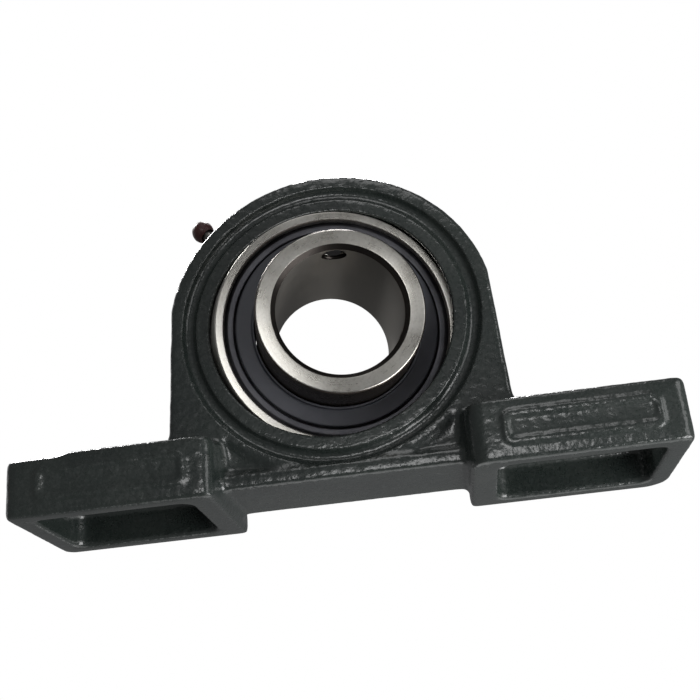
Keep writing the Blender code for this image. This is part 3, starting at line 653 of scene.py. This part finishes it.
def panel_outline():
    """The sunk corner right of the boss, as (x, height over the base)."""
    low, side = CENTRE.z - PANEL_LOW, PANEL_X
    start = -math.degrees(math.asin(low / BOSS_R))
    end = -math.degrees(math.acos(side / BOSS_R))
    return [(side, PANEL_LOW), *reversed(arc((0, CENTRE.z), BOSS_R, start, end, 12))]


def rough_casting():
    """The casting before machining, with soft corners."""
    casting = extruded("housing_casting", plate_outline(), -HUB_HALF, HUB_HALF, ELEVATION)
    right = foot_outline(FOOT_CORNER_BACK["right"], FOOT_CORNER_INNER["right"])
    left = mirrored(foot_outline(FOOT_CORNER_BACK["left"], FOOT_CORNER_INNER["left"]))
    pad_corner = FOOT_CORNER_INNER["left"]
    pad = mirrored(rounded_rectangle(FOOT_INNER_X, END_STEP_X, BASE_HALF_DEPTH, pad_corner))
    reach = FOOT_INNER_X + OVERCUT
    rail = rounded_rectangle(-reach, reach, RAIL_HALF, SMALL_CORNER)
    for solid in (
        extruded("foot_right", right, 0, FOOT_HEIGHT, PLAN),
        extruded("foot_left_end", left, 0, FOOT_HEIGHT - END_STEP, PLAN),
        extruded("foot_left_pad", pad, OVERCUT, FOOT_HEIGHT, PLAN),
        extruded("rail", rail, WEB_UNDER, RAIL_TOP, PLAN),
    ):
        combine(casting, solid, "UNION")
    pocket = rounded_rectangle(*POCKET_X, POCKET_HALF, POCKET_CORNER)
    for outline in (pocket, mirrored(pocket)):
        combine(casting, extruded("pocket", outline, -OVERCUT, POCKET_DEPTH, PLAN))
    for outline in (panel_outline(), mirrored(panel_outline())):
        deep, beyond = HUB_HALF - PANEL_DEPTH, HUB_HALF + OVERCUT
        combine(casting, extruded("front_panel", outline, deep, beyond, ELEVATION))
        combine(casting, extruded("rear_panel", outline, -beyond, -deep, ELEVATION))
    modify(casting, "REMESH", mode="VOXEL", voxel_size=ROUGH_VOXEL)
    modify(casting, "SMOOTH", factor=0.5, iterations=FILLET_PASSES)
    return casting


def borders():
    """A raised blank border on the front of each foot."""
    low, high = BORDER_Z
    middle, half = (low + high) / 2, (high - low) / 2
    face = BASE_HALF_DEPTH
    outer_corner, inner_corner = BORDER_CORNERS
    for side, (start, end) in BORDER_X.items():
        outer = rounded_rectangle(start, end, half, outer_corner, middle)
        inside = rounded_rectangle(
            start + BORDER_LINE, end - BORDER_LINE, half - BORDER_LINE, inner_corner, middle,
        )
        proud = face + BORDER_RELIEF[side]
        border = extruded("border_" + side, outer, face - OVERCUT, proud, ELEVATION)
        combine(border, extruded("inside", inside, face, face + OVERCUT, ELEVATION))
        yield border


def seat_cutter():
    """A sphere's zone with a grease groove, and a flared mouth at both faces."""
    mouth = math.degrees(math.asin(SEAT_MOUTH_Z / SEAT_R))
    groove = math.degrees(math.asin(GREASE_GROOVE_HALF / SEAT_R))
    beyond = HUB_HALF + OVERCUT
    flare = SEAT_R * math.cos(math.radians(mouth)) + beyond - SEAT_MOUTH_Z
    zone = arc((0, 0), SEAT_R, mouth, groove, 16)
    foot = (zone[-1][0] + GREASE_GROOVE_DEPTH, zone[-1][1])
    half = [(0, beyond), (flare, beyond), *zone, foot]
    return turned("seat", half + facing(-1, half), UPRIGHT)


def ring_groove_cutter(side):
    inner, outer = RING_GROOVE_R
    half = (outer - inner) / 2
    radius = (half ** 2 + RING_GROOVE_DEPTH ** 2) / (2 * RING_GROOVE_DEPTH)
    spread = math.degrees(math.asin(half / radius))
    centre = ((inner + outer) / 2, HUB_HALF - RING_GROOVE_DEPTH + radius)
    dish = arc(centre, radius, -90 - spread, -90 + spread, 12)
    above = HUB_HALF + OVERCUT
    return turned("ring_groove", facing(side, [*dish, (outer, above), (inner, above)]), UPRIGHT)


def notch_cutter():
    """The two notches at the rear that let the insert in edgeways."""
    notch = rod("loading_notch", SEAT_R, -HUB_HALF - OVERCUT, 0, UPRIGHT, FINE)
    outline = rounded_rectangle(-SEAT_R, SEAT_R, NOTCH_HALF, SMALL_CORNER)
    band = extruded("notch_band", outline, -HUB_HALF - 2 * OVERCUT, OVERCUT, UPRIGHT)
    combine(notch, band, "INTERSECT")
    return notch


def nipple_seat_cutter():
    """The nipple's spot face, its hole and the grease duct to the seat."""
    above, low = DOME_R + 2 * OVERCUT, SEAT_R - OVERCUT
    face, floor = SPOT_FACE - CLEARANCE, STEM_START - CLEARANCE
    hole_r = STEM_R + CLEARANCE
    profile = [
        (0, above), (SPOT_FACE_R, above), (SPOT_FACE_R, face), (hole_r, face), (hole_r, floor),
        (DUCT_R, floor), (DUCT_R, low), (0, low),
    ]
    return turned("nipple_seat", profile, NIPPLE, SMALL)


def cast_relief(casting):
    """Gives the casting's skin its low waves. The seat, the spot face and the base stay true."""
    skin = casting.vertex_groups.new(name="skin")
    nipple_inverse = NIPPLE.inverted()
    to_world = casting.matrix_world
    for vertex in casting.data.vertices:
        point = to_world @ vertex.co
        at_nipple = nipple_inverse @ point
        off_shaft = math.hypot(point.x - CENTRE.x, point.z - CENTRE.z)
        off_nipple = math.hypot(at_nipple.x, at_nipple.y)
        at_spot_face = at_nipple.z > TRUE_NIPPLE_Z and off_nipple < SPOT_FACE_R
        machined = off_shaft < SEAT_R + TRUE_ROUND_SEAT or point.z < TRUE_BASE or at_spot_face
        skin.add([vertex.index], 0.0 if machined else 1.0, "REPLACE")
    for name, size in RELIEF_SIZES.items():
        texture = bpy.data.textures.new("cast_" + name, "CLOUDS")
        texture.noise_scale = size
        texture.noise_depth = 1
        modify(
            casting, "DISPLACE", texture=texture, strength=RELIEF, mid_level=0.5,
            vertex_group="skin",
        )


def housing():
    casting = rough_casting()
    for border in borders():
        combine(casting, border, "UNION")
    slot = slot_outline()
    roof, above = POCKET_DEPTH - OVERCUT, FOOT_HEIGHT + OVERCUT
    for tool in (
        extruded("slot_right", slot, roof, above, PLAN),
        extruded("slot_left", mirrored(slot), roof, above, PLAN),
        seat_cutter(), ring_groove_cutter(1), ring_groove_cutter(-1),
        notch_cutter(), nipple_seat_cutter(),
    ):
        combine(casting, tool)
    modify(casting, "REMESH", mode="VOXEL", voxel_size=CASTING_VOXEL)
    modify(casting, "SMOOTH", factor=0.5, iterations=TRIM_PASSES)
    cast_relief(casting)
    casting.data.shade_smooth()
    finished(casting, "housing", "housing", "painted_casting")


# Insert bearing


def raceway(shoulder, facing_out):
    """The balls' groove in a ring whose shoulder has that radius."""
    spread = math.degrees(math.acos(abs(shoulder - PITCH_R) / GROOVE_R))
    if facing_out:
        return arc((PITCH_R, 0), GROOVE_R, 180 - spread, 180 + spread, 24)
    return arc((PITCH_R, 0), GROOVE_R, spread, -spread, 24)


def outer_ring():
    """A ring with a spherical back, a groove for each seal and two grease holes."""
    edge = math.degrees(math.asin((OUTER_RING_HALF - OUTER_RING_CHAMFER) / OUTER_RING_R))
    back = arc((0, 0), OUTER_RING_R, edge, -edge, 32)
    face_r = back[0][0] - OUTER_RING_CHAMFER
    mouth = [
        (SEAL_MOUTH_R + SEAL_MOUTH_CHAMFER, OUTER_RING_HALF),
        (SEAL_MOUTH_R, OUTER_RING_HALF - SEAL_MOUTH_CHAMFER),
        (SEAL_MOUTH_R, SEAL_OUT + SEAL_MOUTH_LIP), (SEAL_GROOVE_R, SEAL_OUT + CLEARANCE),
        (SEAL_GROOVE_R, SEAL_IN - CLEARANCE), (OUTER_BORE_R, SEAL_IN - CLEARANCE),
    ]
    inside = [*mouth, *raceway(OUTER_BORE_R, False), *facing(-1, mouth)]
    outside = [(face_r, OUTER_RING_HALF), *back, (face_r, -OUTER_RING_HALF)]
    profile = rounded([*outside, *reversed(inside)], ROUNDING["outer_ring"])
    ring = turned("outer_ring_ground", profile, INSERT)
    for angle in (90.0, 270.0):
        low, high = OUTER_BORE_R - OVERCUT, OUTER_RING_R + OVERCUT
        drill = rod("lube_hole", LUBE_HOLE_R, low, high, INSERT @ across(angle, LUBE_HOLE_Z))
        combine(ring, drill)
    sharpened(ring)
    finished(ring, "outer_ring", "insert", "ring_steel")


def inner_ring():
    """A ring that is longer at the front, where two tapped holes take the set screws."""
    front, rear, land = INNER_RING_FRONT, -INNER_RING_REAR, INNER_RING_R
    mouth_r = BORE_R + BORE_CHAMFER
    profile = rounded([
        (mouth_r, front), (land - RING_CHAMFER, front), (land, front - RING_CHAMFER),
        *raceway(land, True),
        (land, rear + RING_CHAMFER), (land - RING_CHAMFER, rear), (mouth_r, rear),
        (BORE_R, rear + BORE_CHAMFER), (BORE_R, front - BORE_CHAMFER),
    ], ROUNDING["inner_ring"])
    ring = turned("inner_ring_ground", profile, INSERT_LEVEL)
    low, high = BORE_R - OVERCUT, INNER_RING_R + OVERCUT
    for angle in SCREW_ANGLES.values():
        place = INSERT @ across(angle, SCREW_Z)
        combine(ring, threaded("tapped_hole", SCREW_HOLE_R, THREAD_DEPTH, low, high, place))
    sharpened(ring)
    finished(ring, "inner_ring", "inner_ring_assembly", "ring_steel")


def set_screw(side, angle):
    """A headless socket screw with a cup point and a real thread."""
    place = INSERT @ across(angle, SCREW_Z)
    point = SCREW_TOP - SCREW_LENGTH
    root = SCREW_R - THREAD_DEPTH
    screw = threaded("set_screw_%s_steel" % side, root, THREAD_DEPTH, point, SCREW_TOP, place)
    blank = [
        (0, SCREW_TOP), (SCREW_R - SCREW_CHAMFER, SCREW_TOP),
        (SCREW_R + THREAD_DEPTH, SCREW_TOP - SCREW_CHAMFER - THREAD_DEPTH),
        (SCREW_R + THREAD_DEPTH, point + SCREW_CUP + THREAD_DEPTH),
        (SCREW_R - SCREW_CUP, point), (0, point + SCREW_CUP / 2),
    ]
    combine(screw, turned("blank", blank, place, SMALL), "INTERSECT")
    key_r = HEX_KEY / math.sqrt(3)
    deep, above = SCREW_TOP - SOCKET_DEPTH, SCREW_TOP + OVERCUT
    combine(screw, rod("socket", key_r, deep, above, place, 6))
    flare = [
        (0, above), (key_r + OVERCUT, above), (key_r * FLARE_FOOT, SCREW_TOP - SOCKET_FLARE),
        (0, SCREW_TOP - SOCKET_FLARE),
    ]
    combine(screw, turned("socket_flare", flare, place, SMALL))
    sharpened(screw)
    node = "set_screw_" + side
    finished(screw, node, node, "screw_steel")


def cage_half(place_name, side):
    """A pressed ring with a pocket for each ball: side 1 is the front half and -1 the rear."""
    face, top = CLEARANCE / 2, CLEARANCE / 2 + CAGE_SHEET
    shell_r = GROOVE_R + CAGE_SHEET
    inner, outer = CAGE_R

    def section(low, high):
        return facing(side, [(inner, high), (outer, high), (outer, low), (inner, low)])

    half = turned("cage_%s_pressed" % place_name, section(face, top), INSERT)
    for number in range(BALL_COUNT):
        place = on_pitch_circle(number)
        combine(half, ball_shape("shell", shell_r, place, MEDIUM), "UNION")
    limit = section(face, shell_r + OVERCUT)
    combine(half, turned("limit", limit, INSERT), "INTERSECT")
    for number in range(BALL_COUNT):
        place = on_pitch_circle(number)
        combine(half, ball_shape("pocket", GROOVE_R, place, MEDIUM))
        between = on_pitch_circle(number + 0.5)
        combine(half, rod("rivet_hole", RIVET_R + CLEARANCE, -OVERCUT, OVERCUT, between))
    sharpened(half)
    finished(half, "cage_" + place_name, "cage", "cage_steel")


def rivet(number):
    """A rivet through both cage halves, with a domed head on each side."""
    seat = CLEARANCE / 2 + CAGE_SHEET + CLEARANCE
    radius = (RIVET_HEAD_R ** 2 + RIVET_HEAD ** 2) / (2 * RIVET_HEAD)
    edge = math.degrees(math.asin(RIVET_HEAD_R / radius))
    dome = arc((0, seat + RIVET_HEAD - radius), radius, 90, 90 - edge, 8)
    dome[0] = (0, seat + RIVET_HEAD)
    half = [*dome, (RIVET_R, seat)]
    place = on_pitch_circle(number - 0.5)
    name = "cage_rivet_%d" % number
    made = turned(name + "_headed", half + facing(-1, half), place, SMALL)
    finished(made, name, "cage", "cage_steel")


def ball(number):
    name = "ball_%d" % number
    made = ball_shape(name + "_polished", BALL_R, on_pitch_circle(number - 1), BALL_SIDES)
    finished(made, name, name, "ball_steel")


def seal(place_name, side):
    """A pressed carrier in the outer ring, and the ribbed rubber lip on the inner ring."""
    rim_in, rim_out = CARRIER_RIM_R
    carrier = rounded([
        (SEAL_MOUTH_R - CLEARANCE, SEAL_OUT + CLEARANCE), (SEAL_GROOVE_R - CLEARANCE, SEAL_OUT),
        (SEAL_GROOVE_R - CLEARANCE, SEAL_IN), (CARRIER_BORE_R, SEAL_IN),
        (CARRIER_BORE_R, SEAL_OUT), (CARRIER_STEP_R, SEAL_OUT), (rim_in, SEAL_RIM),
        (rim_out, SEAL_RIM),
    ], ROUNDING["carrier"])
    edge_in, edge_out = LIP_EDGE
    lip_r = INNER_RING_R + CLEARANCE
    lip = rounded([
        (lip_r, edge_out), (LIP_R, SEAL_OUT), (LIP_R, SEAL_IN), (LIP_ROOT_R, SEAL_IN),
        (lip_r, edge_in),
    ], ROUNDING["lip"])
    made = turned("seal_carrier_%s_pressed" % place_name, facing(side, carrier), INSERT)
    finished(made, "seal_carrier_" + place_name, "insert", "seal_steel")
    made = turned("seal_lip_%s_moulded" % place_name, facing(side, lip), INSERT)
    finished(made, "seal_lip_" + place_name, "insert", "seal_rubber")


def flinger(place_name, side):
    """A pressed disc that throws off dirt, with a collar, a shallow rib and a turned rim."""
    inner = INNER_RING_R + CLEARANCE
    profile = rounded([
        (inner, FLINGER_COLLAR), (inner + FLINGER_SHEET, FLINGER_COLLAR),
        (inner + FLINGER_SHEET, FLINGER_OUT), (FLINGER_R, FLINGER_OUT),
        (FLINGER_R, FLINGER_RIM), (FLINGER_R - FLINGER_SHEET, FLINGER_RIM),
        (FLINGER_R - FLINGER_SHEET, FLINGER_IN), (inner, FLINGER_IN),
    ], ROUNDING["flinger"])
    made = turned("flinger_%s_pressed" % place_name, facing(side, profile), INSERT)
    finished(made, "flinger_" + place_name, "inner_ring_assembly", "flinger_steel")


# Grease nipple


def grease_nipple():
    """A threaded stem, a chamfered hexagon and a grooved head, hollow for its valve."""
    head = [
        (0, HEAD_TOP), (HEAD_FACE_R, HEAD_TOP), (HEAD_R, HEAD_TOP - HEAD_TAPER),
        (HEAD_R, HEAD_TOP - HEAD_BAND), (NECK_R, NECK_TOP), (NECK_R, HEX_TOP),
        (STEM_R, HEX_TOP - STEM_CHAMFER), (STEM_R, SPOT_FACE), (0, SPOT_FACE),
    ]
    nipple = turned("grease_nipple_plated", rounded(head, ROUNDING["nipple"]), NIPPLE, SMALL)
    hexagon = rod("hexagon", HEX_R, SPOT_FACE, HEX_TOP - CLEARANCE, NIPPLE, 6)
    top, chamfer_r, barrel_r = HEX_TOP - CLEARANCE, HEX_R * HEX_CHAMFER_SHARE, HEX_R + HEX_MARGIN
    barrel = [
        (0, top), (chamfer_r, top), (barrel_r, top - HEX_CHAMFER),
        (barrel_r, SPOT_FACE + HEX_CHAMFER), (chamfer_r, SPOT_FACE), (0, SPOT_FACE),
    ]
    combine(hexagon, turned("barrel", barrel, NIPPLE, SMALL), "INTERSECT")
    combine(nipple, hexagon, "UNION")
    root = STEM_R - THREAD_DEPTH
    stem = threaded("stem", root, THREAD_DEPTH, STEM_START, SPOT_FACE + CLEARANCE, NIPPLE)
    combine(nipple, stem, "UNION")
    above, below = HEAD_TOP + OVERCUT, STEM_START - OVERCUT
    hollow = [
        (0, above), (MOUTH_R, above), (MOUTH_R, CHAMBER_TOP + CHAMBER_CONE),
        (CHAMBER_R, CHAMBER_TOP - CHAMBER_CONE), (CHAMBER_R, CHAMBER_FOOT),
        (MOUTH_R, CHAMBER_FOOT - CHAMBER_CONE), (MOUTH_R, below), (0, below),
    ]
    combine(nipple, turned("nipple_bore", hollow, NIPPLE, SMALL))
    sharpened(nipple)
    finished(nipple, "grease_nipple", "housing", "nipple_steel")


def nipple_valve():
    """The check ball and the coil under it."""
    place = NIPPLE @ Matrix.Translation((0, 0, CHECK_BALL_Z))
    made = ball_shape("nipple_check_ball_polished", CHECK_BALL_R, place)
    finished(made, "nipple_check_ball", "nipple_valve", "ball_steel")
    curve = bpy.data.curves.new("nipple_spring_wire", "CURVE")
    curve.dimensions = "3D"
    curve.bevel_depth = SPRING_WIRE_R
    curve.bevel_resolution = 3
    curve.use_fill_caps = True
    spline = curve.splines.new("POLY")
    count = SPRING_TURNS * SPRING_STEPS
    spline.points.add(count)
    low, high = SPRING_Z
    for i, point in enumerate(spline.points):
        angle = FULL_TURN * i / SPRING_STEPS
        x, y = SPRING_R * math.cos(angle), SPRING_R * math.sin(angle)
        point.co = (x, y, low + (high - low) * i / count, 1.0)
    wire = new_piece("nipple_spring_curve", curve, NIPPLE)
    bpy.context.view_layer.update()
    mesh = bpy.data.meshes.new_from_object(wire.evaluated_get(bpy.context.evaluated_depsgraph_get()))
    bpy.data.objects.remove(wire)
    mesh.shade_smooth()
    spring = new_piece("nipple_spring_coiled", mesh, NIPPLE)
    finished(spring, "nipple_spring", "nipple_valve", "spring_steel")


def nipple_cap():
    """The round dust cap, with its mould's parting line and a shallow gate mark on top."""
    mouth = math.degrees(math.acos((CAP_BORE_R + CAP_WALL) / CAP_R))
    outside = []
    for r, z in arc((0, CAP_Z), CAP_R, 90, -mouth, 48):
        if abs(z - CAP_Z) < PARTING_HALF:
            r += PARTING_RIDGE
        outside.append((r, z - GATE_DEPTH if r < GATE_R else z))
    outside[0] = (0, CAP_Z + CAP_R - GATE_DEPTH)
    bore = [
        (CAP_BORE_R, outside[-1][1]), (CAP_BORE_R, CAP_ROOF - CLEARANCE),
        (HEAD_FACE_R + CLEARANCE, CAP_ROOF), (0, CAP_ROOF),
    ]
    made = turned("nipple_cap_moulded", [*outside, *bore], NIPPLE, MEDIUM)
    finished(made, "nipple_cap", "nipple_cap", "cap_plastic")


# Stage


def stage_floor():
    """A pale floor that fades to white far off.

    The photograph looks up at the base from below, so the floor is see-through from its underside.
    """
    reach = FLOOR_REACH
    corners = [(-reach, -reach, 0), (reach, -reach, 0), (reach, reach, 0), (-reach, reach, 0)]
    mesh = bpy.data.meshes.new("floor")
    mesh.from_pydata(corners, [], [(0, 1, 2, 3)])
    floor = new_piece("floor", mesh, Matrix.Translation((0, 0, -FLOOR_GAP)))
    material, tree, shader = new_material(
        "pale floor", (0.4, 0.4, 0.4), 0.8, Specular_IOR_Level=0.0, Emission_Color=(1, 1, 1, 1),
    )
    away = from_axis(tree, object_coordinates(tree))
    lit = ramp(tree, away, (FLOOR_NEAR, 0.4), (FLOOR_FAR, 0.0))
    glow = ramp(tree, away, (FLOOR_NEAR, 0.6), (FLOOR_FAR, 1.0))
    tree.links.new(lit, shader.inputs["Base Color"])
    tree.links.new(glow, shader.inputs["Emission Strength"])
    material.cycles.emission_sampling = "NONE"
    clear = add_node(tree, "BsdfTransparent")
    choice = add_node(tree, "MixShader")
    below = add_node(tree, "NewGeometry").outputs["Backfacing"]
    tree.links.new(below, choice.inputs[0])
    tree.links.new(shader.outputs[0], choice.inputs[1])
    tree.links.new(clear.outputs[0], choice.inputs[2])
    tree.links.new(choice.outputs[0], tree.nodes["Material Output"].inputs["Surface"])
    mesh.materials.append(material)
    for ray in ("diffuse", "glossy", "transmission", "volume_scatter", "shadow"):
        setattr(floor, "visible_" + ray, False)


def area_light(name, direction, distance, size, power):
    """A soft square light that faces the bearing from that direction."""
    light = bpy.data.lights.new(name, "AREA")
    light.size = size
    light.energy = power
    lamp = bpy.data.objects.new(name, light)
    bpy.context.scene.collection.objects.link(lamp)
    towards = Vector(direction).normalized()
    lamp.location = CENTRE + towards * distance
    lamp.rotation_euler = towards.to_track_quat("Z", "Y").to_euler()
    lamp.visible_camera = False


def studio():
    """A white surround for the camera, a dimmer one for the object, and soft lights."""
    scene = bpy.context.scene
    scene.view_settings.view_transform = "Standard"
    world = bpy.data.worlds.new("studio")
    world.use_nodes = True
    scene.world = world
    tree = world.node_tree
    surround = tree.nodes["Background"]
    surround.inputs["Color"].default_value = (0.98, 0.985, 1.0, 1)
    surround.inputs["Strength"].default_value = 0.13
    white = add_node(tree, "Background", in_Color=(1, 1, 1, 1), in_Strength=1.0)
    choice = add_node(tree, "MixShader")
    seen = add_node(tree, "LightPath").outputs["Is Camera Ray"]
    tree.links.new(seen, choice.inputs[0])
    tree.links.new(surround.outputs[0], choice.inputs[1])
    tree.links.new(white.outputs[0], choice.inputs[2])
    tree.links.new(choice.outputs[0], tree.nodes["World Output"].inputs["Surface"])
    area_light("top left", (-0.55, 0.38, 0.78), 0.7, 0.18, 3.8)
    area_light("front top", (0.05, -0.6, 0.8), 0.7, 0.3, 0.5)
    area_light("front card", (0.02, -1.0, 0.03), 0.75, 0.2, 0.6)
    area_light("right fill", (0.85, -0.65, 0.2), 0.7, 0.3, 0.5)
    area_light("rear top", (0.0, 0.42, 0.9), 0.8, 0.22, 3.8)
    area_light("rear fill", (-0.95, 0.45, 0.35), 0.7, 0.6, 0.45)
    area_light("low rear", (0.15, 0.5, -0.9), 0.6, 0.6, 0.7)
    area_light("low front", (1.0, -0.45, -0.75), 0.3, 0.22, 0.86)


def camera():
    data = bpy.data.cameras.new("camera")
    data.lens = CAMERA_LENS
    data.sensor_width = 36.0
    data.shift_y = CAMERA_SHIFT_Y
    data.clip_start = 0.01
    viewer = bpy.data.objects.new("camera", data)
    bpy.context.scene.collection.objects.link(viewer)
    viewer.location = CENTRE + CAMERA_OFFSET
    viewer.rotation_euler = Euler([math.radians(angle) for angle in CAMERA_TURN])
    bpy.context.scene.camera = viewer


camera()
studio()
stage_floor()
housing()
outer_ring()
inner_ring()
for screw_side, screw_angle in SCREW_ANGLES.items():
    set_screw(screw_side, screw_angle)
for number in range(1, BALL_COUNT + 1):
    ball(number)
    rivet(number)
for place_name, side in (("front", 1), ("rear", -1)):
    cage_half(place_name, side)
    seal(place_name, side)
    flinger(place_name, side)
grease_nipple()
nipple_valve()
nipple_cap()
